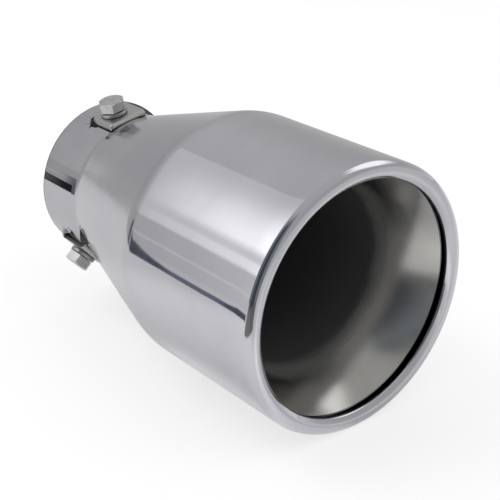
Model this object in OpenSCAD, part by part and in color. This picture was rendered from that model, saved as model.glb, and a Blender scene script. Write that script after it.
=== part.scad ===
// Bolt-on exhaust tip: a spun double-wall tail piece with a rolled lip.
// The axis runs along +X, from the rim of the inlet sleeve (x = 0) to the outlet.
// Millimetres, +Z up.

/* [Outer shell] */
// Outside diameter of the inlet sleeve
inlet_d = 67.2; // [66:0.1:69]
// Outside diameter of the body
body_d = 101.6; // [101:0.1:108]
// Thickness of the shell's sheet
wall = 1.2; // [0.9:0.1:1.4]
// Length of the straight inlet sleeve, up to the corner with the cone
sleeve_len = 26; // [25.5:0.5:30]
// Length of the cone between sleeve and body
cone_len = 62; // [50:0.5:80]
// Length of the straight body, up to the roll of the lip
body_len = 69; // [50:0.5:110]
// Bend radius where the sleeve opens into the cone
neck_bend = 12; // [6:0.5:16]
// Bend radius where the cone runs into the body
shoulder_bend = 28; // [10:0.5:40]

/* [Rolled lip] */
// Radius of the outer roll
roll_r = 5; // [3.5:0.1:6]
// Radius of the tight inner edge
edge_r = 1.6; // [1.6:0.1:2.4]
// Length of the edge that is turned back inside
turn_len = 2; // [1:0.1:4]

/* [Liner] */
// Thickness of the liner's sheet
liner_wall = 1; // [0.8:0.1:1.2]
// Amount by which the liner's mouth is wider than the lip's opening, on the radius
mouth_step = 0.8; // [0:0.1:2]
// Amount by which the liner tube is wider than the sleeve, on the outside radius
tube_step = 2.4; // [2:0.1:4]
// Length of the flare, from its corner to the mouth
flare_len = 26; // [20:0.5:30]
// Bend radius between the tube and the flare
flare_bend = 10; // [6:0.5:16]
// Open gap between the lip's turned edge and the liner's mouth
mouth_gap = 3.8; // [2:0.1:6]
// Length of the rear skirt that lies in the cone
skirt_len = 9; // [6:0.5:9]
// Gap between the rear skirt and the cone
seat_gap = 0.1; // [0.05:0.05:0.25]

/* [Clamping lugs] */
// Angle of the first lug's bolt, from the top towards -Y
lug_turn = 12; // [0:0.1:50]
// Width of the flat lug from its bolt to the side that is only sheared
lug_near = 8; // [8:0.1:9]
// Width of the flat lug from its bolt to the side that is opened up
lug_far = 9.4; // [8:0.1:10]
// Length of the side cuts, from their rear end to the lug's front edge
lug_len = 14.5; // [14:0.1:16]
// Length of the pressed rise from the sleeve up to the side cuts
press_len = 6; // [4:0.1:8]
// Width over which the pressed rise falls back to the sleeve on each side
press_side = 2.2; // [2:0.1:3]
// Height of the lug's flat above the sleeve
lug_rise = 1.8; // [1.2:0.1:2.2]
// Outer radius of the lug's turned-down edges
turn_r = 1.7; // [1.4:0.1:1.8]
// Depth of the turned-down edges under the lug's flat
turn_drop = 2.3; // [2:0.1:2.4]
// Distance of the lug's front edge past the corner of sleeve and cone
lug_past = 1; // [0.5:0.1:1.5]
// Width of the side cut that is only sheared
slit_w = 0.5; // [0.4:0.1:1.2]
// Width of the side cut that is opened up
wide_slit_w = 1.1; // [1.1:0.1:2]
// Width of the front cut along the neck
front_cut_w = 0.9; // [0.6:0.1:1.4]
// Angle by which the front cut runs on past the opened side cut
front_run = 12; // [5:0.5:18]
// Angle of the short relief cut at the rear of the sheared side
relief_run = 4; // [2:0.5:6]

/* [Rim slots] */
// Width of the slots that let the sleeve close on the pipe
slot_w = 3.2; // [2:0.1:5]
// Distance by which the slots end short of the corner of sleeve and cone
slot_short = 4; // [2:0.5:10]
// Angle from a lug to the next slot
slot_turn = 63.9; // [60:0.1:66]

/* [Bolts and washers] */
// Thread diameter of the bolt
bolt_d = 6; // [5:0.1:6.5]
// Width across the flats of the bolt's head
head_af = 10; // [8:0.1:11]
// Height of the bolt's head
head_h = 4.2; // [3:0.1:5]
// Outside diameter of the spring washer
washer_d = 11.2; // [10:0.1:12.4]
// Thickness of the spring washer
washer_t = 2; // [1.2:0.1:2.2]
// Width of the split in the spring washer
washer_split = 1; // [0.6:0.1:1.5]
// Distance of the bolts from the lugs' front edges
bolt_inset = 9.3; // [8:0.1:10]
// Clearance of the thread in the lug, on the radius
thread_clear = 0.05; // [0.02:0.01:0.1]
// Clearance of the washer round the bolt, on the radius
washer_clear = 0.2; // [0.1:0.05:0.3]
// Distance that the bolt's tip stays outside the bore
tip_clear = 0.2; // [0.1:0.05:0.4]

/* [Hidden] */

$fn = 120;

inlet_r = inlet_d / 2;
body_r = body_d / 2;
cone_tilt = atan((body_r - inlet_r) / cone_len);
body_end = sleeve_len + cone_len + body_len;

// the lip: its front plane, the radius of its opening and its turned edge
lip_front = body_end + roll_r;
lip_r = body_r - roll_r - edge_r;
lip_edge = lip_front - edge_r - turn_len;

// the liner: its outer radius, where it leaves the cone, and its flare
liner_r = inlet_r + tube_step;
seat_x = sleeve_len + (liner_r - inlet_r + (wall + seat_gap) / cos(cone_tilt)) / tan(cone_tilt);
mouth_x = lip_edge - mouth_gap;
mouth_r = lip_r + mouth_step + liner_wall;
seat_bend = 8;

// the lugs: three stations, the plane of the flat, both ends of the side cuts and the side angles
lug_step = 120;
lug_top = inlet_r + lug_rise;
lug_front = sleeve_len + lug_past;
lug_rear = lug_front - lug_len;
bolt_x = lug_front - bolt_inset;
root_inset = 0.1;
near_side = asin(lug_near / inlet_r);
far_side = asin(lug_far / inlet_r);
slit_side = asin((lug_near + slit_w) / inlet_r);
wide_side = asin((lug_far + wide_slit_w) / inlet_r);

// the bolts: underside of the head, tip, and their bevels
head_z = lug_top + washer_t;
tip_z = inlet_r - wall + tip_clear;
tip_bevel = 0.4;
head_bevel = 0.6;

// cutters reach this far past what they cut
reach = 2;
arc_steps = 10;
// length by which the lug overlaps the rise behind it
lap = 0.3;

// unit vector along a -> b, and the normal on its left
function along(a, b) = (b - a) / norm(b - a);
function left(u) = [-u[1], u[0]];
function spin2(v, a) = [v[0] * cos(a) - v[1] * sin(a), v[0] * sin(a) + v[1] * cos(a)];

// points of one bend: q is the corner, u and v the directions before and after it,
// off the distance of the wanted line to the left of the path
function bend(q, r, u, v, off) =
    let (turn = atan2(u[0] * v[1] - u[1] * v[0], u * v),
         side = sign(turn),
         start = q - u * r * tan(abs(turn) / 2),
         centre = start + left(u) * side * r)
    [for (k = [0 : arc_steps])
        centre - spin2(left(u), turn * k / arc_steps) * side * (r - side * off)];

// line beside a path of [x, radius, bend radius] points, the ends have no bend
function beside(path, off) =
    let (p = [for (q = path) [q[0], q[1]]],
         n = len(p) - 1)
    concat([p[0] + left(along(p[0], p[1])) * off],
           [for (i = [1 : n - 1])
               each bend(p[i], path[i][2], along(p[i - 1], p[i]), along(p[i], p[i + 1]), off)],
           [p[n] + left(along(p[n - 1], p[n])) * off]);

// sheet of thickness t under a path, as a closed outline
function sheet(path, t) =
    let (inner = beside(path, -t))
    concat(beside(path, 0), [for (i = [len(inner) - 1 : -1 : 0]) inner[i]]);

function shell_path() =
    [[0, inlet_r, 0],
     [sleeve_len, inlet_r, neck_bend],
     [sleeve_len + cone_len, body_r, shoulder_bend],
     [lip_front, body_r, roll_r],
     [lip_front, lip_r, edge_r],
     [lip_edge, lip_r, 0]];

function liner_path() =
    [[seat_x - skirt_len, liner_r - skirt_len * tan(cone_tilt), 0],
     [seat_x, liner_r, seat_bend],
     [mouth_x - flare_len, liner_r, flare_bend],
     [mouth_x, mouth_r, 0]];

// an outline of [x, radius] points turned round the X axis, its seam in line with a rim slot
module spun(outline)
    rotate([lug_turn + slot_turn, 0, 0]) rotate([0, 90, 0])
        rotate_extrude() polygon([for (q = outline) [q[1], q[0]]]);

// a flat shape in Y and Z, t thick from x on, and one in X and Z, t thick from y on
module across(x, t)
    translate([x, 0, 0]) rotate([90, 0, 90]) linear_extrude(height = t) children();
module lengthwise(y, t)
    translate([0, y + t, 0]) rotate([90, 0, 0]) linear_extrude(height = t) children();

// places something drawn at the top on a lug's station
module at_lug(i) rotate([lug_turn + i * lug_step, 0, 0]) children();

// height of a circle of radius r at the distance y from its middle
function height_at(r, y) = sqrt(r * r - y * y);

// rear end of the pressed rise: an arc of radius r that stands on mid, from -n to f
module rise_rear(r, mid, n, f) {
    a0 = -asin(n / r);
    a1 = asin(f / r);
    polygon(concat([[-n, height_at(mid, n)]],
        [for (k = [0 : 2 * arc_steps])
            let (a = a0 + (a1 - a0) * k / arc_steps / 2) [r * sin(a), r * cos(a)]],
        [[f, height_at(mid, f)]]));
}

// front end of the pressed rise: flat at height z between -n and f, then down over w on each side
module rise_front(r, mid, z, n, f, w)
    polygon([[-n - w, height_at(mid, n + w)], [-n - w, height_at(r, n + w)], [-n, z],
             [f, z], [f + w, height_at(r, f + w)], [f + w, height_at(mid, f + w)]]);

// the block under the outer face of the rise, or under its inner face for off = wall
module rise_block(off, mid, x_end) {
    thin = 0.01;
    n = lug_near - off / 2;
    f = lug_far - off / 2;
    w = press_side - off / 2;
    hull() {
        across(lug_rear - press_len, thin) rise_rear(inlet_r - off - root_inset, mid, n + w, f + w);
        across(x_end - thin, thin) rise_front(inlet_r - off - root_inset, mid, lug_top - off, n, f, w);
    }
}

// inside of the rise, cut through the sleeve under it
module rise_hollow() rise_block(wall, inlet_r - 3 * wall, lug_rear + root_inset / 2);

// quarter of a circle of radius r round c, from the angle a on
function quarter(c, r, a) =
    [for (k = [0 : arc_steps])
        let (b = a + 90 * k / arc_steps) c + r * [cos(b), sin(b)]];

// the block under the lug's top, or under its lower face for off = wall: its front edge and its
// sheared side are turned down, its opened side is plain and lies at far
module lug_block(off, far, x_start, low) {
    z = lug_top - off;
    r = turn_r - off;
    front = lug_front - off;
    near = lug_near - off;
    intersection() {
        lengthwise(-near, near + far)
            polygon(concat([[front, low]], quarter([front - r, z - r], r, 0), [[x_start, z], [x_start, low]]));
        across(x_start, front - x_start)
            polygon(concat([[far, low], [far, z]], quarter([r - near, z - r], r, 90), [[-near, low]]));
    }
}

module lug() {
    low = lug_top - turn_drop;
    rise_block(0, inlet_r - wall / 2, lug_rear);
    difference() {
        lug_block(0, lug_far, lug_rear - lap, low);
        lug_block(wall, lug_far + reach, lug_rear - reach, low - reach);
    }
}

// sector between two angles from the top, positive away from the first rim slot
module sector(x, t, a0, a1) {
    far = body_d;
    across(x, t) polygon([[0, 0], far * [sin(a0), cos(a0)], far * [sin(a1), cos(a1)]]);
}

// the window in which the lug lies, with the run-on of its front cut and the rear relief
module lug_cuts() {
    deep = 3 * wall;
    translate([lug_rear, -lug_near - slit_w, height_at(inlet_r, lug_far + wide_slit_w) - deep])
        cube([lug_front + front_cut_w - lug_rear, lug_near + lug_far + slit_w + wide_slit_w, 3 * deep]);
    sector(lug_front, front_cut_w, far_side, wide_side + front_run);
    sector(lug_rear, slit_w, -slit_side - relief_run, -near_side);
}

module rim_slot()
    translate([-reach, -slot_w / 2, inlet_r - wall - reach])
        cube([sleeve_len - slot_short + reach, slot_w, wall + 2 * reach]);

module shell()
    color([0.76, 0.76, 0.78]) difference() {
        union() {
            difference() {
                spun(sheet(shell_path(), wall));
                for (i = [0 : 2]) at_lug(i) {
                    lug_cuts();
                    rotate([slot_turn, 0, 0]) rim_slot();
                }
            }
            for (i = [0 : 2]) at_lug(i) lug();
        }
        for (i = [0 : 2]) at_lug(i) {
            rise_hollow();
            translate([bolt_x, 0, inlet_r - wall - reach])
                cylinder(r = bolt_d / 2 + thread_clear, h = lug_rise + 2 * reach, $fn = 48);
        }
    }

module liner()
    color([0.45, 0.44, 0.42]) spun(sheet(liner_path(), liner_wall));

// hex bolt: bevelled tip, thread and head, with two flats across the axis of the tip
module bolt(i) {
    corner = head_af / 2 / cos(30);
    flat_r = corner - head_bevel / tan(30);
    color([0.66, 0.67, 0.69]) at_lug(i) translate([bolt_x, 0, 0]) {
        translate([0, 0, tip_z])
            cylinder(r1 = bolt_d / 2 - tip_bevel, r2 = bolt_d / 2, h = tip_bevel, $fn = 48);
        translate([0, 0, tip_z + tip_bevel])
            cylinder(r = bolt_d / 2, h = head_z + head_h / 2 - tip_z - tip_bevel, $fn = 48);
        translate([0, 0, head_z]) intersection() {
            rotate([0, 0, 30]) cylinder(r = corner, h = head_h, $fn = 6);
            rotate_extrude($fn = 48) polygon([[0, 0], [corner + reach, 0],
                [corner + reach, head_h - head_bevel - reach * tan(30)],
                [flat_r, head_h], [0, head_h]]);
        }
    }
}

// spring washer, drawn tight, with its split
module washer(i) {
    bore_r = bolt_d / 2 + washer_clear;
    color([0.6, 0.61, 0.63]) at_lug(i) translate([bolt_x, 0, lug_top]) difference() {
        cylinder(r = washer_d / 2, h = washer_t, $fn = 64);
        translate([0, 0, -reach]) cylinder(r = bore_r, h = washer_t + 2 * reach, $fn = 48);
        rotate([0, 0, 200]) translate([0, -washer_split / 2, -reach])
            cube([washer_d, washer_split, washer_t + 2 * reach]);
    }
}

shell();
liner();
bolt(0);  // bolt_top
bolt(1);  // bolt_low
bolt(2);  // bolt_back
washer(0);  // washer_top
washer(1);  // washer_low
washer(2);  // washer_back
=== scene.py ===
import math

import bmesh
import bpy
from mathutils import Matrix, Vector


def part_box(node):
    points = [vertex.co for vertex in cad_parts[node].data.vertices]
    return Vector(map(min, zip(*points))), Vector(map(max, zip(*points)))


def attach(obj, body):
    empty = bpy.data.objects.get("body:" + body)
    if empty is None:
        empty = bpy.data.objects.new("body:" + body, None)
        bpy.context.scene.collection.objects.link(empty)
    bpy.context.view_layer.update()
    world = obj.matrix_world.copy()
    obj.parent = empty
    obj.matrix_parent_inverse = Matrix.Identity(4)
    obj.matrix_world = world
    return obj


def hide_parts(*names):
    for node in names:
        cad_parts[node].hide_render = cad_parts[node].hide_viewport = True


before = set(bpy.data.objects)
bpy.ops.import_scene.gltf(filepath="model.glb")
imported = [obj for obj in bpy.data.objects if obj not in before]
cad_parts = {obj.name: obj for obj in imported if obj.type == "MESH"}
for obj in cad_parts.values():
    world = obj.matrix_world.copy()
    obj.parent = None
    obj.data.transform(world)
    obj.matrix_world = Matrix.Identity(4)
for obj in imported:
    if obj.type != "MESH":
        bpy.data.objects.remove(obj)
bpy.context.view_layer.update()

print("exhaust tip: frame loaded")

mm = 0.001
tiny = 1e-6
toDegrees = 180.0 / math.pi
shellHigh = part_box("shell")[1]
tipLength = shellHigh.x / mm
tipRadius = 50.8
axisHeight = tipRadius * mm  # the tip lies on its body, so the floor is this far under its axis


# node trees

class Wire:  # one output socket; sums on it add Math nodes
    def __init__(self, graph, socket):
        self.graph = graph
        self.socket = socket

    def maths(self, operation, *values):
        return self.graph.add("ShaderNodeMath", {"operation": operation}, dict(enumerate(values)))

    def __add__(self, other):
        return self.maths("ADD", self, other)

    def __radd__(self, other):
        return self.maths("ADD", other, self)

    def __sub__(self, other):
        return self.maths("SUBTRACT", self, other)

    def __rsub__(self, other):
        return self.maths("SUBTRACT", other, self)

    def __mul__(self, other):
        return self.maths("MULTIPLY", self, other)

    def __rmul__(self, other):
        return self.maths("MULTIPLY", other, self)

    def __truediv__(self, other):
        return self.maths("DIVIDE", self, other)

    def __rtruediv__(self, other):
        return self.maths("DIVIDE", other, self)

    def __pow__(self, other):
        return self.maths("POWER", self, other)

    def __neg__(self):
        return self.maths("MULTIPLY", self, -1.0)

    def clip(self, low=0.0, high=1.0):
        return self.maths("MINIMUM", self.maths("MAXIMUM", self, low), high)

    def step(self, start, end):
        # smooth rise from 0 at start to 1 at end
        inputs = {"Value": self, "From Min": start, "From Max": end}
        return self.graph.add("ShaderNodeMapRange", {"interpolation_type": "SMOOTHSTEP"}, inputs)

    def band(self, low, high, soft):
        # 1 between low and high, with soft sides
        return self.step(low - soft, low + soft) * (1.0 - self.step(high - soft, high + soft))


class Graph:
    def __init__(self, tree):
        self.tree = tree
        tree.nodes.clear()

    def add(self, kind, settings=None, inputs=None, output=0):
        node = self.tree.nodes.new(kind)
        for name, value in (settings or {}).items():
            setattr(node, name, value)
        for name, value in (inputs or {}).items():
            if isinstance(value, Wire):
                self.tree.links.new(value.socket, node.inputs[name])
            else:
                node.inputs[name].default_value = value
        return Wire(self, node.outputs[output]) if node.outputs else node

    def split(self, vector):
        node = self.add("ShaderNodeSeparateXYZ", inputs={0: vector}).socket.node
        return [Wire(self, s) for s in node.outputs]

    def mix(self, factor, a, b):
        node = self.add("ShaderNodeMix", {"data_type": "RGBA"}, {0: factor}).socket.node
        for socket, value in ((node.inputs[6], a), (node.inputs[7], b)):
            if isinstance(value, Wire):
                self.tree.links.new(value.socket, socket)
            else:
                socket.default_value = (*value, 1.0)
        return Wire(self, node.outputs[2])

    def noise(self, vector, scale, detail=2.0, roughness=0.5):
        return self.add("ShaderNodeTexNoise", inputs={
            "Vector": vector, "Scale": scale, "Detail": detail, "Roughness": roughness})

    def rays(self, *kinds):
        node = self.add("ShaderNodeLightPath").socket.node
        return [Wire(self, node.outputs[kind]) for kind in kinds]

    def objectPlace(self):
        return self.add("ShaderNodeTexCoord", output=3)

    def placeInMm(self):
        inputs = {0: self.objectPlace(), "Scale": 1 / mm}
        return self.add("ShaderNodeVectorMath", {"operation": "SCALE"}, inputs)


def fromAxis(y, z):
    return (y * y + z * z) ** 0.5


def turnRoundAxis(y, z):
    # degrees from the top towards -Y
    return y.maths("ARCTAN2", -y, z) * toDegrees


def latheLines(graph, x, y, z, finish):
    # marks of turning: the noise changes along x and hardly round the tip
    along = turnRoundAxis(y, z) * finish["lineStretch"]
    lathe = graph.add("ShaderNodeCombineXYZ", inputs={0: x, 1: fromAxis(y, z), 2: along})
    return graph.noise(lathe, finish["lineScale"], 4.0, finish["lineRoughness"])


def newMaterial(name):
    material = bpy.data.materials.new(name)
    material.use_nodes = True
    return material, Graph(material.node_tree)


def finishMaterial(graph, sockets, bump=None, bumpDistance=0.0):
    if bump is not None:
        sockets["Normal"] = graph.add("ShaderNodeBump", inputs={
            "Height": bump, "Distance": bumpDistance, "Strength": 1.0})
    shader = graph.add("ShaderNodeBsdfPrincipled", inputs=sockets)
    graph.add("ShaderNodeOutputMaterial", inputs={"Surface": shader})


# outlines of the sheets: points (x, radius) in millimetres

def bentLine(path, steps=12):
    # path holds (x, radius, bend radius); straight runs are joined by arcs
    corners = [Vector(p[:2]) for p in path]
    line = [corners[0]]
    for i in range(1, len(path) - 1):
        u = (corners[i] - corners[i - 1]).normalized()
        v = (corners[i + 1] - corners[i]).normalized()
        turn = math.atan2(u.x * v.y - u.y * v.x, u.dot(v))
        side = 1.0 if turn > 0 else -1.0
        left = Vector((-u.y, u.x)) * side
        radius = path[i][2]
        start = corners[i] - u * radius * math.tan(abs(turn) / 2)
        centre = start + left * radius
        for k in range(steps + 1):
            line.append(centre + Matrix.Rotation(turn * k / steps, 2) @ (-left) * radius)
    line.append(corners[-1])
    return line


def beside(line, off):
    # the line moved by off to its left, which is outwards on a sheet that runs from inlet to outlet
    sharpest = 0.5  # stops a sharp corner from running away
    moved = []
    for i, p in enumerate(line):
        a = line[max(i - 1, 0)]
        b = line[min(i + 1, len(line) - 1)]
        before = (p - a).normalized() if (p - a).length > tiny else (b - p).normalized()
        after = (b - p).normalized() if (b - p).length > tiny else before
        along = (before + after).normalized()
        normal = Vector((-along.y, along.x))
        stretch = 1.0 / max(normal.dot(Vector((-before.y, before.x))), sharpest)
        moved.append(p + normal * off * stretch)
    return moved


def fillRows(line, step):
    # splits the long straight runs of a line
    rows = [line[0]]
    for a, b in zip(line[:-1], line[1:]):
        count = max(1, math.ceil((b - a).length / step))
        rows += [a.lerp(b, k / count) for k in range(1, count + 1)]
    return rows


def onAxis(x, radius, angle):
    # angle is measured from the top towards -Y, as for the lugs
    turn = math.radians(angle)
    return Vector((x, -radius * math.sin(turn), radius * math.cos(turn))) * mm


def ease(value, start, end):
    t = min(max((value - start) / (end - start), 0.0), 1.0)
    return t * t * (3 - 2 * t)


# meshes

def inScene(name, data):
    thing = bpy.data.objects.new(name, data)
    bpy.context.scene.collection.objects.link(thing)
    return thing


def meshOf(name, work):
    mesh = bpy.data.meshes.new(name)
    work.to_mesh(mesh)
    work.free()
    return mesh


def newPiece(name, mesh, material, slot, *nodes):
    piece = inScene(name, mesh)
    mesh.materials.clear()
    mesh.materials.append(material)
    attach(piece, "root")
    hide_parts(*nodes)
    return piece


def smoothUpTo(mesh, sharp):
    mesh.shade_smooth()
    mesh.set_sharp_from_angle(angle=math.radians(sharp))


def plainResult(worker):
    # the evaluated object's mesh; the worker and its modifiers go
    deps = bpy.context.evaluated_depsgraph_get()
    done = bpy.data.meshes.new_from_object(worker.evaluated_get(deps))
    bpy.data.objects.remove(worker)
    return done


def bake(mesh, modifiers, sharp=35.0):
    # runs modifiers on a mesh and hands back the plain result, smooth up to the sharp angle
    worker = inScene("worker", mesh)
    for kind, settings in modifiers:
        modifier = worker.modifiers.new(kind.lower(), kind)
        for name, value in settings.items():
            setattr(modifier, name, value)
    done = plainResult(worker)
    smoothUpTo(done, sharp)
    return done


# shell: sleeve, cone, body and rolled lip, with the lugs pressed out of the sleeve

shellSheet = {
    "thickness": 1.2,
    "inletRadius": 33.6,
    "sleeveLength": 26.0,
    "coneLength": 62.0,
    "neckBend": 12.0,
    "shoulderBend": 28.0,
    "rollRadius": 5.0,
    "edgeRadius": 1.6,
    "turnedEdge": 2.0,
    "lipTop": 1.2,  # the lip seen in the photo ends this far behind the CAD's foremost plane
    "lipRoll": 3.2,
    "lipSlant": 40.0,
    "lipInner": 44.3,
    "lipInnerRoll": 1.3,
    "lipEnd": 157.9,
    "bendSteps": 12,
    "columnStep": 2.0,  # degrees between two columns of faces
    "rowStep": 6.0,
    "fineRow": 0.7,
    "nearestFineRow": 0.25,
    "nearestRow": 0.02,
}

lugShape = {
    "firstLug": 12.0,  # degrees from the top towards the camera's side
    "lugStep": 120.0,
    "near": 8.0,  # from the bolt to the side that is only sheared
    "far": 9.4,  # from the bolt to the side that is opened up
    "length": 14.5,
    "past": 1.0,
    "rise": 1.8,
    "pressLength": 6.0,
    "pressFront": 4.0,
    "pressSide": 2.2,
    "turnRadius": 1.7,
    "turnDrop": 2.3,
    "shearedSlit": 0.5,
    "openSlit": 1.1,
    "frontCut": 0.9,
    "frontRun": 12.0,
    "reliefRun": 4.0,
    "slotTurn": 63.9,
    "slotWidth": 3.2,
    "slotShort": 4.0,
    "boltInset": 9.3,
    "fineStep": 0.8,
    "fineReach": 30.0,
    "sleeveDents": (3.2, 0.0, 0.8),  # by the three lugs, as the photo shows the first two
    "dentMiddle": 22.0,  # degrees past the opened side
    "dentSpread": 14.0,
    "dentFade": (24, 36),
    "dentReach": 85.0,  # no dent goes further round than this
    "dentLast": 40.0,  # or further along
    "tongueRises": (-0.3, 1.8, 0.4),
    "flatSteps": 12,
    "cornerSteps": 8,
    "turnSteps": 7,
}

steelFinish = {
    "colours": ((0.505, 0.50, 0.54), (0.54, 0.54, 0.565)),
    "lugColour": (0.46, 0.465, 0.45),
    "roughness": 0.055,
    "coneRougher": 0.07,
    "cloudRougher": 0.05,
    "linesRougher": 0.04,
    "lugRougher": 0.24,
    "cloudScale": 0.035,
    "waveScale": 0.06,
    "lineScale": 2.2,
    "lineRoughness": 0.65,
    "lineStretch": 0.02,
    "lineHeight": 0.02,
    "bumpDistance": 0.05,
}

cutFinish = {
    "colours": ((0.05, 0.048, 0.045), (0.12, 0.11, 0.1)),
    "metallic": 0.6,
    "roughness": 0.45,
    "cloudRougher": 0.2,
    "cloudScale": 0.4,
}

lipRadius = tipRadius - shellSheet["rollRadius"] - shellSheet["edgeRadius"]
lipEdge = tipLength - shellSheet["edgeRadius"] - shellSheet["turnedEdge"]
coneEnd = shellSheet["sleeveLength"] + shellSheet["coneLength"]
coneTilt = math.atan((tipRadius - shellSheet["inletRadius"]) / shellSheet["coneLength"])
lugFront = shellSheet["sleeveLength"] + lugShape["past"]
lugRear = lugFront - lugShape["length"]
lugTop = shellSheet["inletRadius"] + lugShape["rise"]
boltX = lugFront - lugShape["boltInset"]
cutEnd = lugFront + lugShape["frontCut"]
slotEnd = shellSheet["sleeveLength"] - lugShape["slotShort"]
stations = [lugShape["firstLug"] + k * lugShape["lugStep"] for k in range(3)]


def sideAngle(width):
    return math.degrees(math.asin(width / shellSheet["inletRadius"]))


# angles from a lug's bolt, positive on its sheared side
nearSide = sideAngle(lugShape["near"])
farSide = -sideAngle(lugShape["far"])
shearedSide = sideAngle(lugShape["near"] + lugShape["shearedSlit"])
openSide = -sideAngle(lugShape["far"] + lugShape["openSlit"])
slotSide = sideAngle(lugShape["slotWidth"] / 2)


def polishedSteel():
    material, graph = newMaterial("polishedSteel")
    place = graph.placeInMm()
    x, y, z = graph.split(place)
    lines = latheLines(graph, x, y, z, steelFinish)
    cloud = graph.noise(place, steelFinish["cloudScale"], 3.0, 0.55)
    wave = graph.noise(place, steelFinish["waveScale"], 1.0, 0.4)
    cone = x.band(lugFront, coneEnd, 4.0)
    # the lugs stand over the sleeve and end before the cone
    lug = fromAxis(y, z).step(shellSheet["inletRadius"] + 0.2, shellSheet["inletRadius"] + 1.2)
    lug = lug * (1 - x.step(lugFront + 0.2, lugFront + 1.2))
    roughness = steelFinish["roughness"] + cone * steelFinish["coneRougher"]
    roughness = roughness + cloud.step(0.45, 0.75) * steelFinish["cloudRougher"]
    roughness = roughness + (lines - 0.5) * steelFinish["linesRougher"] + lug * steelFinish["lugRougher"]
    colour = graph.mix(cloud.step(0.35, 0.7), *steelFinish["colours"])
    colour = graph.mix(lug, colour, steelFinish["lugColour"])
    finishMaterial(graph, {
        "Base Color": colour, "Metallic": 1.0, "Roughness": roughness.clip(0.03, 0.4)},
        bump=lines * steelFinish["lineHeight"] + wave, bumpDistance=steelFinish["bumpDistance"] * mm)
    return material


def cutSteel():
    # sheared walls of the sheet, dull, nearly black and blotchy
    material, graph = newMaterial("cutSteel")
    cloud = graph.noise(graph.placeInMm(), cutFinish["cloudScale"], 3.0, 0.6)
    finishMaterial(graph, {
        "Base Color": graph.mix(cloud, *cutFinish["colours"]), "Metallic": cutFinish["metallic"],
        "Roughness": cutFinish["roughness"] + cloud * cutFinish["cloudRougher"]})
    return material


def turnFrom(angle, station):
    return (angle - station + 180) % 360 - 180


def shellColumns():
    # even columns, finer at the lugs, with columns on the sides of every cut
    special = []
    even = []
    fine = lugShape["fineStep"]
    for station in stations:
        special += [station + a for a in (
            openSide - lugShape["frontRun"], openSide, farSide, nearSide, shearedSide,
            shearedSide + lugShape["reliefRun"],
            sideAngle(lugShape["near"] - lugShape["turnRadius"]),
            lugShape["slotTurn"] - slotSide, lugShape["slotTurn"] + slotSide)]
        count = round(lugShape["fineReach"] / fine)
        even += [(station + k * fine, fine) for k in range(-count, count + 1)]
    step = shellSheet["columnStep"]
    for k in range(round(360 / step)):
        if min(abs(turnFrom(k * step, station)) for station in stations) > lugShape["fineReach"]:
            even.append((k * step, step))
    keep = [a for a, gap in even if all(abs(turnFrom(a, b)) > gap * 0.45 for b in special)]
    return sorted(a % 360 for a in keep + special)


def shellRows():
    slant = math.radians(shellSheet["lipSlant"])
    rollReach = shellSheet["lipRoll"] * (math.tan(math.pi / 4 + slant / 2) - 1)
    slantTop = tipLength - shellSheet["lipTop"] + rollReach
    path = [(0, shellSheet["inletRadius"]),
            (shellSheet["sleeveLength"], shellSheet["inletRadius"], shellSheet["neckBend"]),
            (coneEnd, tipRadius, shellSheet["shoulderBend"]),
            (slantTop, tipRadius, shellSheet["lipRoll"]),
            (slantTop - (tipRadius - shellSheet["lipInner"]) * math.tan(slant), shellSheet["lipInner"],
             shellSheet["lipInnerRoll"]),
            (shellSheet["lipEnd"], shellSheet["lipInner"])]
    line = bentLine(path, shellSheet["bendSteps"])
    # fine rows run up to the middle of the neck's bend
    neck = 1 + shellSheet["bendSteps"] // 2
    rows = fillRows(line[:neck + 1], shellSheet["fineRow"])[:-1]
    rows += fillRows(line[neck:], shellSheet["rowStep"])
    cuts = (lugRear, lugRear + lugShape["shearedSlit"], lugFront, cutEnd, slotEnd)
    for cut in cuts:
        i = next(k for k in range(1, len(rows)) if rows[k].x > cut)
        a, b = rows[i - 1], rows[i]
        rows.insert(i, a.lerp(b, (cut - a.x) / (b.x - a.x)))
    # rows that lie too near each other go, but never the ones on a cut
    keep = []
    for p in rows:
        onCut = any(abs(p.x - cut) < tiny for cut in cuts)
        near = shellSheet["nearestFineRow"] if p.x < coneEnd / 2 else shellSheet["nearestRow"]
        if onCut and keep and (p - keep[-1]).length < near and keep[-1].x > 0:
            keep[-1] = p
        elif not keep or (p - keep[-1]).length > near or onCut:
            keep.append(p)
    return keep


def isCut(x, angle):
    for station in stations:
        turn = turnFrom(angle, station)
        if x < slotEnd and abs(turn - lugShape["slotTurn"]) < slotSide:
            return True
        if lugRear < x < cutEnd and openSide < turn < shearedSide:
            return True
        if lugFront < x < cutEnd and openSide - lugShape["frontRun"] < turn < openSide:
            return True
        relief = lugRear < x < lugRear + lugShape["shearedSlit"]
        if relief and 0 < turn < shearedSide + lugShape["reliefRun"]:
            return True
    return False


def stationTurn(station):
    return Matrix.Rotation(math.radians(station), 3, "X")


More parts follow.
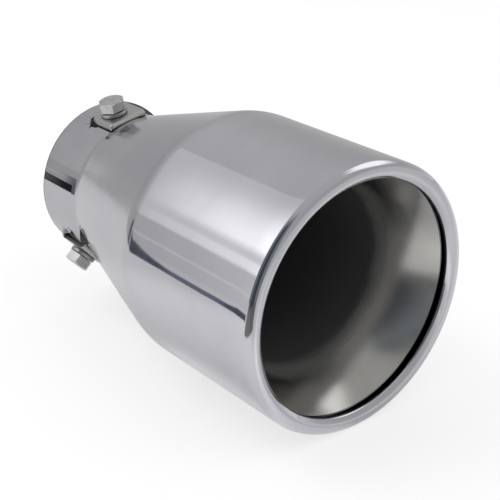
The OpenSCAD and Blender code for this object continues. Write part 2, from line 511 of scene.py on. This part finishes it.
def pressedOut(point, x, angle):
    # the sleeve behind a lug is pressed out to the lug's flat, beside its opened side it is bent in
    for station, sleeveDent, tongueRise in zip(stations, lugShape["sleeveDents"], lugShape["tongueRises"]):
        turn = turnFrom(angle, station)
        if abs(turn) > lugShape["dentReach"] or x > lugShape["dentLast"]:
            continue
        toPart = stationTurn(station)
        local = toPart.transposed() @ point / mm
        y, z = local.y, local.z
        if abs(turn) < lugShape["fineReach"]:
            fall = ease(y, lugShape["far"] + lugShape["pressSide"], lugShape["far"])
            if y < 0:
                fall = ease(-y, lugShape["near"] + lugShape["pressSide"], lugShape["near"])
            grow = ease(x, lugRear - lugShape["pressLength"], lugRear - 0.4)
            if x > lugRear + 0.01:
                grow = 0.0 if y < 0 else 1 - ease(x, lugRear, lugRear + lugShape["pressFront"])
            z += (lugTop - z) * fall * grow
        past = openSide - turn
        around = math.exp(-((past - lugShape["dentMiddle"]) / lugShape["dentSpread"]) ** 2)
        dent = sleeveDent * (1 - ease(x, *lugShape["dentFade"])) * around
        if x < lugFront + 0.01 and 0 <= past < lugShape["frontRun"] and y > 0:
            dent -= tongueRise * ease(x, lugRear, lugFront) * (1 - ease(past, 0, lugShape["frontRun"]))
        length = math.hypot(y, z)
        y, z = y * (1 - dent / length), z * (1 - dent / length)
        point = toPart @ Vector((x, y, z)) * mm
    return point


def addLugTray(work, station, backRow):
    # the lug runs on from the pressed rise; its front edge and its sheared side are turned down
    radius, drop = lugShape["turnRadius"], lugShape["turnDrop"]
    toPart = stationTurn(station)
    quarter = math.pi / 2

    def put(x, y, z):
        return work.verts.new(toPart @ Vector((x, y, z)) * mm)

    flatEnd = lugFront - radius
    steps = lugShape["flatSteps"]
    xs = [lugRear + (flatEnd - lugRear) * k / steps for k in range(steps + 1)]
    ys = [y for y in backRow if y >= radius - lugShape["near"] - 1e-4]
    flat = [[put(x, y, lugTop) for y in ys] for x in xs]
    for a, b in zip(flat[:-1], flat[1:]):
        for k in range(len(ys) - 1):
            work.faces.new((a[k], b[k], b[k + 1], a[k + 1]))
    # border of the flat, from the opened side over the front to the sheared side
    corner = [quarter * k / lugShape["cornerSteps"] for k in range(1, lugShape["cornerSteps"] + 1)]
    border = [(flat[-1][k], (1.0, 0.0)) for k in range(len(ys) - 1, -1, -1)]
    border += [(flat[-1][0], (math.cos(t), -math.sin(t))) for t in corner]
    border += [(flat[k][0], (0.0, -1.0)) for k in range(len(xs) - 2, -1, -1)]
    down = [quarter * k / lugShape["turnSteps"] for k in range(1, lugShape["turnSteps"] + 1)]
    profile = [(radius * math.sin(t), radius * (1 - math.cos(t))) for t in down]
    profile.append((radius, drop))
    previous = None
    for vert, (nx, ny) in border:
        start = toPart.transposed() @ vert.co / mm
        column = [vert] + [put(start.x + nx * out, start.y + ny * out, lugTop - low) for out, low in profile]
        if previous:
            for k in range(len(column) - 1):
                ring = (previous[k], previous[k + 1], column[k + 1], column[k])
                work.faces.new([v for n, v in enumerate(ring) if v not in ring[:n]])
        previous = column


def makeShell(material, cutMaterial):
    work = bmesh.new()
    rows, columns = shellRows(), shellColumns()
    count = len(columns)
    grid = []
    for j, p in enumerate(rows):
        row = [onAxis(p.x, p.y, a) for a in columns]
        if j < len(rows) // 2:
            row = [pressedOut(point, p.x, a) for point, a in zip(row, columns)]
        grid.append([work.verts.new(point) for point in row])
    for j in range(len(rows) - 1):
        middle = (rows[j].x + rows[j + 1].x) / 2
        for k in range(count):
            after = columns[(k + 1) % count] + (360 if k + 1 == count else 0)
            if middle < coneEnd and isCut(middle, (columns[k] + after) / 2):
                continue
            beyond = (k + 1) % count
            work.faces.new((grid[j][k], grid[j + 1][k], grid[j + 1][beyond], grid[j][beyond]))
    rear = min(range(len(rows)), key=lambda j: abs(rows[j].x - lugRear))
    for station in stations:
        toLug = stationTurn(station).transposed()
        places = [toLug @ v.co / mm for v in grid[rear]]
        backRow = sorted(p.y for p in places if p.z > 0 and -lugShape["near"] < p.y < lugShape["far"] + 0.01)
        addLugTray(work, station, backRow)
    bmesh.ops.remove_doubles(work, verts=work.verts[:], dist=0.02 * mm)
    loose = [v for v in work.verts if not v.link_faces]
    bmesh.ops.delete(work, geom=loose, context="VERTS")
    bmesh.ops.recalc_face_normals(work, faces=work.faces[:])
    mesh = meshOf("shellSkin", work)
    mesh.materials.append(material)
    mesh.materials.append(cutMaterial)
    done = bake(mesh, [
        ("SOLIDIFY", {"thickness": shellSheet["thickness"] * mm, "offset": -1.0, "use_even_offset": True,
                      "use_quality_normals": True, "material_offset_rim": 1})])
    # the walls of the cuts are dull, everything else is polished
    walls = [face.material_index for face in done.polygons]
    piece = newPiece("shellSkin", done, material, "shell", "shell")
    done.materials.append(cutMaterial)
    done.polygons.foreach_set("material_index", walls)
    print("shell:", len(done.polygons), "faces,", sum(walls), "on cuts")
    return piece


# liner: skirt in the cone, straight tube and flared mouth

linerSheet = {
    "thickness": 1.0,
    "tubeStep": 2.4,
    "mouthStep": 0.8,
    "flareLength": 26.0,
    "flareBend": 10.0,
    "seatBend": 8.0,
    "mouthGap": 3.8,
    "skirtLength": 9.0,
    "seatGap": 0.1,
    "rowStep": 6.0,
    "segments": 256,
}

linerFinishAndShade = {
    "paintedShadeColour": (0.062, 0.062, 0.064),
    "steelColours": ((0.36, 0.345, 0.32), (0.45, 0.45, 0.44)),
    "unshadedFade": (34.0, 22.0),  # behind the lip, from all painted shade to plain steel
    "shadeEdgeShift": 6.0,
    "smoothFade": (38.0, 30.0),  # on the bend, so that no line shows on the flare
    "darkPartRoughness": 0.75,
    "steelSmoother": 0.53,
    "cloudRougher": 0.08,
    "darkPartMetallic": 0.3,
    "cloudScale": 0.05,
    "lineScale": 1.6,
    "lineRoughness": 0.6,
    "lineStretch": 0.03,
    "lineHeight": 0.009,
    "cloudHeight": 0.06,
    "mouthStart": 28.0,
    "bell": -0.006,  # bends the reflections in the mouth
    "bellPatch": 0.004,
    "patchScale": 0.02,
}


def linerSteelPaintedShade():
    material, graph = newMaterial("linerSteelPaintedShade")
    place = graph.placeInMm()
    x, y, z = graph.split(place)
    lines = latheLines(graph, x, y, z, linerFinishAndShade)
    cloud = graph.noise(place, linerFinishAndShade["cloudScale"], 4.0, 0.6)
    # painted shade: nearly black deep in the liner, fading to plain steel behind the lip; roughness and
    # metallic follow the same fade
    unshadedStart, unshadedEnd = [tipLength - back for back in linerFinishAndShade["unshadedFade"]]
    unshaded = (x + (cloud - 0.5) * linerFinishAndShade["shadeEdgeShift"]).step(unshadedStart, unshadedEnd)
    colour = graph.mix(unshaded, linerFinishAndShade["paintedShadeColour"], graph.mix(cloud, *linerFinishAndShade["steelColours"]))
    smoothStart, smoothEnd = [tipLength - back for back in linerFinishAndShade["smoothFade"]]
    roughness = linerFinishAndShade["darkPartRoughness"] - x.step(smoothStart, smoothEnd) * linerFinishAndShade["steelSmoother"]
    roughness = roughness + (cloud - 0.5) * linerFinishAndShade["cloudRougher"]
    stretched = graph.add("ShaderNodeCombineXYZ", inputs={0: x * 0.3, 1: y, 2: z})
    patch = graph.noise(stretched, linerFinishAndShade["patchScale"], 1.0, 0.5)
    mouth = (x - (tipLength - linerFinishAndShade["mouthStart"])).clip(0.0, 30.0)
    bell = mouth * mouth * (linerFinishAndShade["bell"] - patch * linerFinishAndShade["bellPatch"])
    metallic = linerFinishAndShade["darkPartMetallic"] + unshaded * (1.0 - linerFinishAndShade["darkPartMetallic"])
    finishMaterial(graph, {
        "Base Color": colour, "Metallic": metallic, "Roughness": roughness.clip(0.12, 0.9)},
        bump=lines * linerFinishAndShade["lineHeight"] + cloud * linerFinishAndShade["cloudHeight"] + bell, bumpDistance=mm)
    return material


def turnedSheetTree():
    # turns the object's own outline, a line of points, round the x axis
    tree = bpy.data.node_groups.new("turnedSheet", "GeometryNodeTree")
    given = {"Outline": "Geometry", "Points": "Int", "Segments": "Int", "Finish": "Material"}
    for name, kind in given.items():
        tree.interface.new_socket(name, in_out="INPUT", socket_type="NodeSocket" + kind)
    tree.interface.new_socket("Sheet", in_out="OUTPUT", socket_type="NodeSocketGeometry")
    graph = Graph(tree)
    entry = tree.nodes.new("NodeGroupInput")
    outline, points, segments, finish = [Wire(graph, s) for s in entry.outputs[:4]]
    grid = graph.add("GeometryNodeMeshGrid", inputs={"Vertices X": segments + 1, "Vertices Y": points})
    index = graph.add("GeometryNodeInputIndex")
    column = index.maths("FLOOR", index / points)
    row = index - column * points
    place = graph.add("GeometryNodeInputPosition")
    sample = graph.add("GeometryNodeSampleIndex", {"data_type": "FLOAT_VECTOR"}, {
        "Geometry": outline, "Value": place, "Index": row})
    x, y, z = graph.split(sample)
    turn = column / segments * (2 * math.pi)
    turned = graph.add("ShaderNodeCombineXYZ", inputs={
        0: x, 1: -(z * turn.maths("SINE", turn)), 2: z * turn.maths("COSINE", turn)})
    moved = graph.add("GeometryNodeSetPosition", inputs={"Geometry": grid, "Position": turned})
    closed = graph.add("GeometryNodeMergeByDistance", inputs={"Geometry": moved, "Distance": 1e-6})
    real = graph.add("GeometryNodeRealizeInstances", inputs={"Geometry": closed})
    dressed = graph.add("GeometryNodeSetMaterial", inputs={"Geometry": real, "Material": finish})
    graph.add("NodeGroupOutput", inputs={0: dressed})
    return tree


def linerLine():
    radius = shellSheet["inletRadius"] + linerSheet["tubeStep"]
    wallAcross = (shellSheet["thickness"] + linerSheet["seatGap"]) / math.cos(coneTilt)
    seat = shellSheet["sleeveLength"] + (linerSheet["tubeStep"] + wallAcross) / math.tan(coneTilt)
    skirt = linerSheet["skirtLength"]
    mouth = lipEdge - linerSheet["mouthGap"]
    mouthRadius = lipRadius + linerSheet["mouthStep"] + linerSheet["thickness"]
    return bentLine([(seat - skirt, radius - skirt * math.tan(coneTilt)),
                     (seat, radius, linerSheet["seatBend"]),
                     (mouth - linerSheet["flareLength"], radius, linerSheet["flareBend"]),
                     (mouth, mouthRadius)])


def makeLiner(material, tree):
    outer = fillRows(linerLine(), linerSheet["rowStep"])
    inner = beside(outer, -linerSheet["thickness"])
    outline = outer + inner[::-1] + [outer[0]]
    mesh = bpy.data.meshes.new("linerOutline")
    mesh.from_pydata([(p.x * mm, 0, p.y * mm) for p in outline],
                     [(k, k + 1) for k in range(len(outline) - 1)], [])
    worker = inScene("linerWorker", mesh)
    modifier = worker.modifiers.new("turned", "NODES")
    modifier.node_group = tree
    sizes = {"Points": len(outline), "Segments": linerSheet["segments"], "Finish": material}
    for item in tree.interface.items_tree:
        if item.in_out == "INPUT" and item.name in sizes:
            modifier[item.identifier] = sizes[item.name]
    done = plainResult(worker)
    work = bmesh.new()
    work.from_mesh(done)
    bmesh.ops.recalc_face_normals(work, faces=work.faces[:])
    work.to_mesh(done)
    work.free()
    smoothUpTo(done, 35.0)
    print("liner:", len(done.polygons), "faces")
    return newPiece("linerSkin", done, material, "liner", "liner")


# bolts and spring washers, each made at the origin and then moved to its lug

boltShape = {
    "thread": 6.0,
    "pitch": 1.0,
    "threadDepth": 0.55,
    "threadSteps": 48,
    "threadFade": (0.6, 0.4),  # the thread runs out over these at the tip and under the head
    "tipBevel": (0.45, 0.5),  # across and along
    "acrossFlats": 10.0,
    "headHeight": 4.2,
    "headBevel": 0.6,
    "headTilt": 30.0,  # degrees of the bevel on the head's corners
    "footBevel": 0.15,
    "footShare": 0.97,
    "perSide": 12,
    "tipClear": 0.2,
    "sharp": 28.0,
    "turned": {"bolt_top": 30.0, "bolt_low": 44.0, "bolt_back": 30.0},  # degrees
    "colour": (0.58, 0.585, 0.58),
}

washerShape = {
    "outer": 11.2,
    "inner": 6.4,
    "thickness": 1.5,
    "height": 2.0,
    "split": 1.0,
    "splitTurn": 200.0,
    "edgeBreak": 0.2,
    "steps": 72,
    "colour": (0.5, 0.5, 0.5),
}

zincFinish = {
    "darker": 0.82,
    "roughness": 0.22,
    "cloudRougher": 0.16,
    "grainRougher": 0.06,
    "cloudScale": 0.35,
    "grainScale": 3.0,
    "bumpDistance": 0.02,
}


def zincPlate(name, colour):
    material, graph = newMaterial(name)
    place = graph.placeInMm()
    cloud = graph.noise(place, zincFinish["cloudScale"], 3.0, 0.6)
    grain = graph.noise(place, zincFinish["grainScale"], 3.0, 0.6)
    tint = graph.mix(cloud.step(0.3, 0.7), colour, tuple(c * zincFinish["darker"] for c in colour))
    roughness = zincFinish["roughness"] + cloud * zincFinish["cloudRougher"]
    roughness = (roughness + grain * zincFinish["grainRougher"]).clip(0.1, 0.6)
    finishMaterial(graph, {"Base Color": tint, "Metallic": 1.0, "Roughness": roughness},
                   bump=grain, bumpDistance=zincFinish["bumpDistance"] * mm)
    return material


def atLug(station):
    return Matrix.Rotation(math.radians(station), 4, "X") @ Matrix.Translation((boltX * mm, 0, 0))


def spotAt(angle, radius, height):
    return (radius * math.cos(angle) * mm, radius * math.sin(angle) * mm, height * mm)


def ringOf(work, radius, height, count, turn):
    return [work.verts.new(spotAt(turn + 2 * math.pi * k / count, radius, height)) for k in range(count)]


def bridge(work, a, b):
    for k in range(len(a)):
        work.faces.new((a[k], a[(k + 1) % len(a)], b[(k + 1) % len(b)], b[k]))


def solidAtLug(name, work, station):
    bmesh.ops.recalc_face_normals(work, faces=work.faces[:])
    bmesh.ops.transform(work, matrix=atLug(station), verts=work.verts[:])
    return meshOf(name, work)


def makeBolt(name, station, material):
    # hex head with a domed bevel above the flats, thread below
    work = bmesh.new()
    perSide = boltShape["perSide"]
    count = 6 * perSide
    flat = boltShape["acrossFlats"] / 2
    tilt = math.tan(math.radians(boltShape["headTilt"]))
    headLow = lugTop + washerShape["height"]
    headHigh = headLow + boltShape["headHeight"]
    bevelStart = flat / math.cos(math.pi / 6) - boltShape["headBevel"] / tilt
    turn = math.radians(boltShape["turned"][name])
    low = []
    high = []
    for k in range(count):
        angle = turn + 2 * math.pi * k / count
        around = (k / perSide) % 1.0 - 0.5
        radius = flat / math.cos(around * math.pi / 3)
        bevel = max(radius - bevelStart, 0.0) * tilt
        low.append(work.verts.new(spotAt(angle, radius, headLow + boltShape["footBevel"])))
        high.append(work.verts.new(spotAt(angle, radius, headHigh - bevel)))
    top = ringOf(work, bevelStart, headHigh, count, turn)
    under = ringOf(work, flat * boltShape["footShare"], headLow, count, turn)
    neck = ringOf(work, boltShape["thread"] / 2, headLow, count, turn)
    bridge(work, under, low)
    bridge(work, low, high)
    bridge(work, high, top)
    bridge(work, neck, under)
    work.faces.new(top)
    # the thread is a row of rings whose radius follows the helix
    tip = shellSheet["inletRadius"] - shellSheet["thickness"] + boltShape["tipClear"]
    tipFade, headFade = boltShape["threadFade"]
    across, along = boltShape["tipBevel"]
    steps = boltShape["threadSteps"]
    previous = neck
    for j in range(1, steps + 1):
        height = headLow + (tip - headLow) * j / steps
        fade = max(min((height - tip) / tipFade, (headLow - height) / headFade, 1.0), 0.0)
        narrow = across * max(0.0, 1 - (height - tip) / along)
        ring = []
        for k in range(count):
            phase = (height / boltShape["pitch"] - k / count) % 1.0
            depth = boltShape["threadDepth"] * abs(2 * phase - 1)
            radius = boltShape["thread"] / 2 - depth * fade - narrow
            ring.append(work.verts.new(spotAt(turn + 2 * math.pi * k / count, radius, height)))
        bridge(work, ring, previous)
        previous = ring
    work.faces.new(previous[::-1])
    done = bake(solidAtLug(name, work, station), [], boltShape["sharp"])
    return newPiece(name + "Skin", done, material, "bolt", name)


def makeWasher(name, station, material):
    work = bmesh.new()
    inner, outer = washerShape["inner"] / 2, washerShape["outer"] / 2
    gap = washerShape["split"] / (inner + outer) * 2
    count = washerShape["steps"]
    start = math.radians(washerShape["splitTurn"]) + gap / 2
    sweep = 2 * math.pi - gap
    rings = []
    for k in range(count + 1):
        angle = start + sweep * k / count
        low = lugTop + (washerShape["height"] - washerShape["thickness"]) * k / count
        high = low + washerShape["thickness"]
        corners = ((inner, low), (outer, low), (outer, high), (inner, high))
        rings.append([work.verts.new(spotAt(angle, r, h)) for r, h in corners])
        if k:
            bridge(work, rings[k - 1], rings[k])
    work.faces.new(rings[0])
    work.faces.new(rings[-1][::-1])
    done = bake(solidAtLug(name, work, station), [
        ("BEVEL", {"width": washerShape["edgeBreak"] * mm, "segments": 3,
                   "limit_method": "ANGLE", "angle_limit": math.radians(40)})])
    return newPiece(name + "Skin", done, material, "washer", name)


# camera and world

cameraView = {
    "place": (411.53, -252.40, 182.46),
    "right": (0.6292, 0.7773, -0.0044),
    "up": (-0.3212, 0.2651, 0.9091),
    "lens": 82.8,
    "sensor": 36.0,
    "nearest": 0.01,
}

worldLight = 0.9  # on dull surfaces; mirrors and the camera see plain white


def makeCamera():
    camera = inScene("camera", bpy.data.cameras.new("camera"))
    right, up = Vector(cameraView["right"]), Vector(cameraView["up"])
    turn = Matrix((right, up, right.cross(up))).transposed().to_4x4()
    camera.matrix_world = Matrix.Translation(Vector(cameraView["place"]) * mm) @ turn
    camera.data.lens = cameraView["lens"]
    camera.data.sensor_width = cameraView["sensor"]
    camera.data.clip_start = cameraView["nearest"]
    bpy.context.scene.camera = camera


def makeWorld():
    world = bpy.data.worlds.new("whiteRoom")
    bpy.context.scene.world = world
    world.use_nodes = True
    graph = Graph(world.node_tree)
    camera, glossy, through = graph.rays("Is Camera Ray", "Is Glossy Ray", "Is Transmission Ray")
    seen = (camera + glossy + through).clip()
    strength = seen + (1.0 - seen) * worldLight
    background = graph.add("ShaderNodeBackground", inputs={"Color": (1, 1, 1, 1), "Strength": strength})
    graph.add("ShaderNodeOutputWorld", inputs={"Surface": background})


# floor, in metres; the camera sees it nearly blown out, the polished steel sees painted levels of light and
# shade on it

floorPaper = {
    "radius": 6.0,
    "middle": 0.08,
    "paper": 0.93,
    "cameraLess": 0.66,
    "cameraGlow": 0.695,
    "blue": 1.005,
    "mirrored": 0.65,  # painted shade in what the steel mirrors: darker under the inlet, lighter under the body and darker again ahead of the lip
    "bodyFade": (-0.07, 0.04),
    "bodyLighter": 0.19,
    "aheadFade": (0.22, 0.3),
    "aheadDarker": 0.18,
    "edgeMiddle": 0.16,
    "edgeFade": (0.17, 0.19),
    "edgeTurn": (-112, -40, 6),
    "paintedRingDarker": 0.75,
    "beneath": (-0.042, 0.0, 0.012),
    "beneathFade": (0.06, 0.1),
    "beneathPaintedLight": 0.28,
}


def makeFloor():
    work = bmesh.new()
    bmesh.ops.create_circle(work, cap_ends=True, segments=96, radius=floorPaper["radius"],
                            matrix=Matrix.Translation((floorPaper["middle"], 0, -axisHeight)))
    floor = inScene("floor", meshOf("floor", work))
    material, graph = newMaterial("paleFloor")
    camera, glossy = graph.rays("Is Camera Ray", "Is Glossy Ray")
    x, y = graph.split(graph.objectPlace())[:2]
    # painted shade and light: the floor's levels as the steel mirrors them
    mirrored = floorPaper["mirrored"] + x.step(*floorPaper["bodyFade"]) * floorPaper["bodyLighter"]
    mirrored = mirrored - x.step(*floorPaper["aheadFade"]) * floorPaper["aheadDarker"]
    # painted dark reflection: a darker ring on the floor on the camera's side of the lip, which only the
    # steel sees
    ahead = x - floorPaper["edgeMiddle"]
    edge = fromAxis(ahead, y).step(*floorPaper["edgeFade"])
    edge = edge * (y.maths("ARCTAN2", y, ahead) * toDegrees).band(*floorPaper["edgeTurn"])
    mirrored = mirrored * (1 - edge * floorPaper["paintedRingDarker"])
    white = floorPaper["paper"]
    pale = white + glossy * (mirrored - white) - camera * floorPaper["cameraLess"]
    colour = graph.add("ShaderNodeCombineColor", inputs={0: pale, 1: pale, 2: pale * floorPaper["blue"]})
    paper = graph.add("ShaderNodeBsdfDiffuse", inputs={"Color": colour})
    # painted light: as the steel mirrors it, the floor under the tip glows, lifting the tip's own shadow
    # there
    beneath = y.band(*floorPaper["beneath"]) * x.step(*floorPaper["beneathFade"])
    glow = graph.add("ShaderNodeEmission", inputs={
        "Color": (1, 1, 1, 1),
        "Strength": camera * floorPaper["cameraGlow"] + glossy * beneath * floorPaper["beneathPaintedLight"]})
    both = graph.add("ShaderNodeAddShader", inputs={0: paper, 1: glow})
    graph.add("ShaderNodeOutputMaterial", inputs={"Surface": both})
    floor.data.materials.append(material)


def onlyInReflections(thing):
    thing.visible_camera = False
    thing.visible_diffuse = False
    thing.visible_shadow = False
    thing.visible_transmission = False


def glowingCloth(thing, material, graph, colour, level):
    glow = graph.add("ShaderNodeEmission", inputs={"Color": colour, "Strength": level})
    graph.add("ShaderNodeOutputMaterial", inputs={"Surface": glow})
    thing.data.materials.append(material)


# tent: the far room that the polished steel mirrors, pale cloth, dark where the camera stands

tentCloth = {
    "radius": 3.0,
    "middle": (0.09, 0, 0),
    "level": 0.92,
    "heights": (((-2, 10), -0.28), ((10, 22), -0.08), ((35, 60), 0.08)),  # degrees up, change of level
    "roomTurn": (-125, -36, 6),
    "roomHeight": (-30, 62, 8),
    "roomLevel": 0.25,
    "roomTint": (0.82, 0.9, 1.0),
    "openingTurn": (-98, -64, 5),
    "openingDarker": 0.16,
    "stripTurn": (-54, -50, 1.5),
    "stripLighter": 0.22,
    "windowTurn": (56, 122, 8),
    "windowHeight": (30, 60, 7),
    "windowLevel": 1.7,
}


def makeTent():
    work = bmesh.new()
    bmesh.ops.create_uvsphere(work, u_segments=96, v_segments=48, radius=tentCloth["radius"])
    tent = inScene("tent", meshOf("tent", work))
    tent.location = tentCloth["middle"]
    onlyInReflections(tent)
    material, graph = newMaterial("tentCloth")
    x, y, z = graph.split(graph.objectPlace())
    around = x.maths("ARCTAN2", y, x) * toDegrees
    height = z.maths("ARCSINE", (z / tentCloth["radius"]).clip(-1.0, 1.0)) * toDegrees
    level = tentCloth["level"]
    for span, change in tentCloth["heights"]:
        level = level + height.step(*span) * change
    # the camera's side is a dark, bluish room with a darker opening in it
    room = around.band(*tentCloth["roomTurn"]) * height.band(*tentCloth["roomHeight"])
    opening = around.band(*tentCloth["openingTurn"]) * tentCloth["openingDarker"]
    strip = around.band(*tentCloth["stripTurn"]) * tentCloth["stripLighter"]
    level = level * (1 - room) + room * (tentCloth["roomLevel"] - (opening - strip))
    window = around.band(*tentCloth["windowTurn"]) * height.band(*tentCloth["windowHeight"])
    level = level * (1 - window) + window * tentCloth["windowLevel"]
    colour = graph.mix(room, (1.0, 1.0, 1.0), tentCloth["roomTint"])
    glowingCloth(tent, material, graph, colour, level)


# vault: the near room, along the tip's axis, with a wall, a dark skirting and a light panel
# its turns are degrees from the top towards -Y, its fades and bands along the axis millimetres

vaultCloth = {
    "radius": 0.23,
    "rear": -2.4,
    "front": 0.034,
    "start": -100.0,
    "foot": 102.7,  # where the vault stands on the floor
    "steps": 100,
    "farFade": (-420, -160),
    "sky": 0.67,
    "skyFade": (-260, -100),
    "skyDarker": (0.08, 0.09),
    "skyBackTurn": (-70, -10),
    "skyBackFade": (-260, -160),
    "skyBackDarker": 0.16,
    "panelTurn": (8.2, 9.2),
    "panel": 0.82,
    "panelFade": (-230, -110),
    "panelDarker": (0.2, 0.12),
    "brightRise": (10, 50),
    "brightFall": (52, 60),
    "brightLost": 0.82,
    "brightBar": (63, 70, 1.5),
    "brightBarShare": 0.35,
    "brightest": (0.54, 72.0, 0.008, 1.6),  # level, where along the axis, growth and limit
    "wallTurn": (70.0, 71.6),
    "wall": 0.80,
    "wallGrowth": 0.0014,
    "wallLimits": (0.5, 0.85),
    "rails": (((84.2, 85.8, 0.7), 0.14), ((95.5, 99, 0.5), 0.07)),
    "skirtingTop": 98.9,
    "skirtingSoft": (-0.2, 0.3),
    "skirtingStart": (-262, -256),
    "skirtingMiddle": 63.0,
    "endsTaller": (0.0012, 0.9, 1.4),  # growth, how much stays level and limit
    "postStart": -104.0,
    "postTaller": (0.17, 17.0),
    "skirtingGap": (-204, -170, 2),  # keeps the sleeve light
    "gapLighter": 0.9,
    "skirting": 0.14,
    "skirtingLight": (-94, -38, 9),
    "skirtingLighter": 0.12,
    "skirtingTint": (0.72, 0.78, 1.0),
}


def makeVault():
    work = bmesh.new()
    radius, start, steps = vaultCloth["radius"], vaultCloth["start"], vaultCloth["steps"]
    previous = None
    for k in range(steps + 1):
        turn = math.radians(start + (vaultCloth["foot"] - start) * k / steps)
        row = [work.verts.new((x, -radius * math.sin(turn), radius * math.cos(turn)))
               for x in (vaultCloth["rear"], vaultCloth["front"])]
        if previous:
            work.faces.new((previous[0], row[0], row[1], previous[1]))
        previous = row
    vault = inScene("vault", meshOf("vault", work))
    onlyInReflections(vault)
    material, graph = newMaterial("vaultCloth")
    x, y, z = graph.split(graph.objectPlace())
    turn = turnRoundAxis(y, z)
    along = x / mm
    far = 1 - along.step(*vaultCloth["farFade"])
    # overhead, darker towards the rear and on the side away from the camera
    rearDarker, farDarker = vaultCloth["skyDarker"]
    sky = vaultCloth["sky"] - (1 - along.step(*vaultCloth["skyFade"])) * rearDarker - far * farDarker
    back = (1 - turn.step(*vaultCloth["skyBackTurn"])) * along.step(*vaultCloth["skyBackFade"])
    sky = sky - back * vaultCloth["skyBackDarker"]
    # the light panel, brighter towards the outlet
    level, where, growth, limit = vaultCloth["brightest"]
    nearer = (level + (along + where) * growth).clip(0.0, limit)
    bright = turn.step(*vaultCloth["brightRise"])
    bright = bright * (1 - turn.step(*vaultCloth["brightFall"]) * vaultCloth["brightLost"])
    bright = bright + turn.band(*vaultCloth["brightBar"]) * vaultCloth["brightBarShare"]
    rearDarker, farDarker = vaultCloth["panelDarker"]
    panel = vaultCloth["panel"] - (1 - along.step(*vaultCloth["panelFade"])) * rearDarker
    panel = panel - far * farDarker + bright * nearer
    wall = (vaultCloth["wall"] + along * vaultCloth["wallGrowth"]).clip(*vaultCloth["wallLimits"])
    for rail, lighter in vaultCloth["rails"]:
        wall = wall + turn.band(*rail) * lighter
    # the skirting is taller at both ends and climbs the post at the far one
    off = along + vaultCloth["skirtingMiddle"]
    growth, flat, limit = vaultCloth["endsTaller"]
    ends = (off * off * growth - flat).clip(0.0, limit)
    growth, limit = vaultCloth["postTaller"]
    post = ((vaultCloth["postStart"] - along) * growth).clip(0.0, limit)
    top = vaultCloth["skirtingTop"] - ends - post
    skirting = (turn - top).step(*vaultCloth["skirtingSoft"]) * along.step(*vaultCloth["skirtingStart"])
    skirting = skirting * (1 - along.band(*vaultCloth["skirtingGap"]) * vaultCloth["gapLighter"])
    dark = vaultCloth["skirting"] + along.band(*vaultCloth["skirtingLight"]) * vaultCloth["skirtingLighter"]
    level = sky + turn.step(*vaultCloth["panelTurn"]) * (panel - sky)
    level = level + turn.step(*vaultCloth["wallTurn"]) * (wall - level)
    level = level * (1 - skirting) + skirting * dark
    colour = graph.mix(skirting, (1.0, 1.0, 1.0), vaultCloth["skirtingTint"])
    glowingCloth(vault, material, graph, colour, level)


# painted shade: a dark, faintly glowing sheet behind the inlet, seen only from inside the tip, so the cuts
# look dark as in the photo

inletPaintedShade = {
    "radius": 0.0335,
    "place": -0.0006,
    "level": 0.012,
    "rimFade": (0.022, 0.034),
    "rimPaintedLight": 0.06,
    "colour": (1, 0.96, 0.95, 1),
}


def makeInletPaintedShade():
    work = bmesh.new()
    place = Matrix.Translation((inletPaintedShade["place"], 0, 0)) @ Matrix.Rotation(math.pi / 2, 4, "Y")
    bmesh.ops.create_circle(work, cap_ends=True, segments=64, radius=inletPaintedShade["radius"], matrix=place)
    shadeSheet = inScene("inletPaintedShade", meshOf("inletPaintedShade", work))
    shadeSheet.visible_shadow = False
    material, graph = newMaterial("paintedShadeSheet")
    x, y, z = graph.split(graph.objectPlace())
    # painted shade, with a little painted light towards the rim
    level = inletPaintedShade["level"] + fromAxis(y, z).step(*inletPaintedShade["rimFade"]) * inletPaintedShade["rimPaintedLight"]
    glow = graph.add("ShaderNodeEmission", inputs={"Color": inletPaintedShade["colour"], "Strength": level})
    through = graph.add("ShaderNodeBsdfTransparent")
    behind = graph.add("ShaderNodeNewGeometry", output=6)
    seen = graph.add("ShaderNodeMixShader", inputs={0: behind, 1: glow, 2: through})
    graph.add("ShaderNodeOutputMaterial", inputs={"Surface": seen})
    shadeSheet.data.materials.append(material)


# lamps: place, size and power, all turned to the middle of the tip

lamps = {
    "keyLamp": ((-0.5, -0.6, 1.1), 0.7, 6.0),
    "fillLamp": ((0.9, 0.2, 1.0), 0.9, 3.0),
}


def makeLamp(name, place, size, power):
    lamp = inScene(name, bpy.data.lights.new(name, "AREA"))
    lamp.location = place
    target = Vector((0.08, 0, 0))
    lamp.rotation_mode = "QUATERNION"
    lamp.rotation_quaternion = (target - Vector(place)).to_track_quat("-Z", "Y")
    lamp.data.size = size
    lamp.data.energy = power
    lamp.visible_glossy = False


bpy.context.scene.view_settings.view_transform = "Standard"
makeCamera()
makeWorld()
makeFloor()
makeTent()
makeVault()
makeInletPaintedShade()
for name, (place, size, power) in lamps.items():
    makeLamp(name, place, size, power)
print("studio ready")

steel = polishedSteel()
linerShadedSteel = linerSteelPaintedShade()
zinc = zincPlate("zincPlate", boltShape["colour"])
spring = zincPlate("springSteel", washerShape["colour"])

makeShell(steel, cutSteel())
makeLiner(linerShadedSteel, turnedSheetTree())
for name, station in zip(("top", "low", "back"), stations):
    makeBolt("bolt_" + name, station, zinc)
    makeWasher("washer_" + name, station, spring)
print("pieces ready")
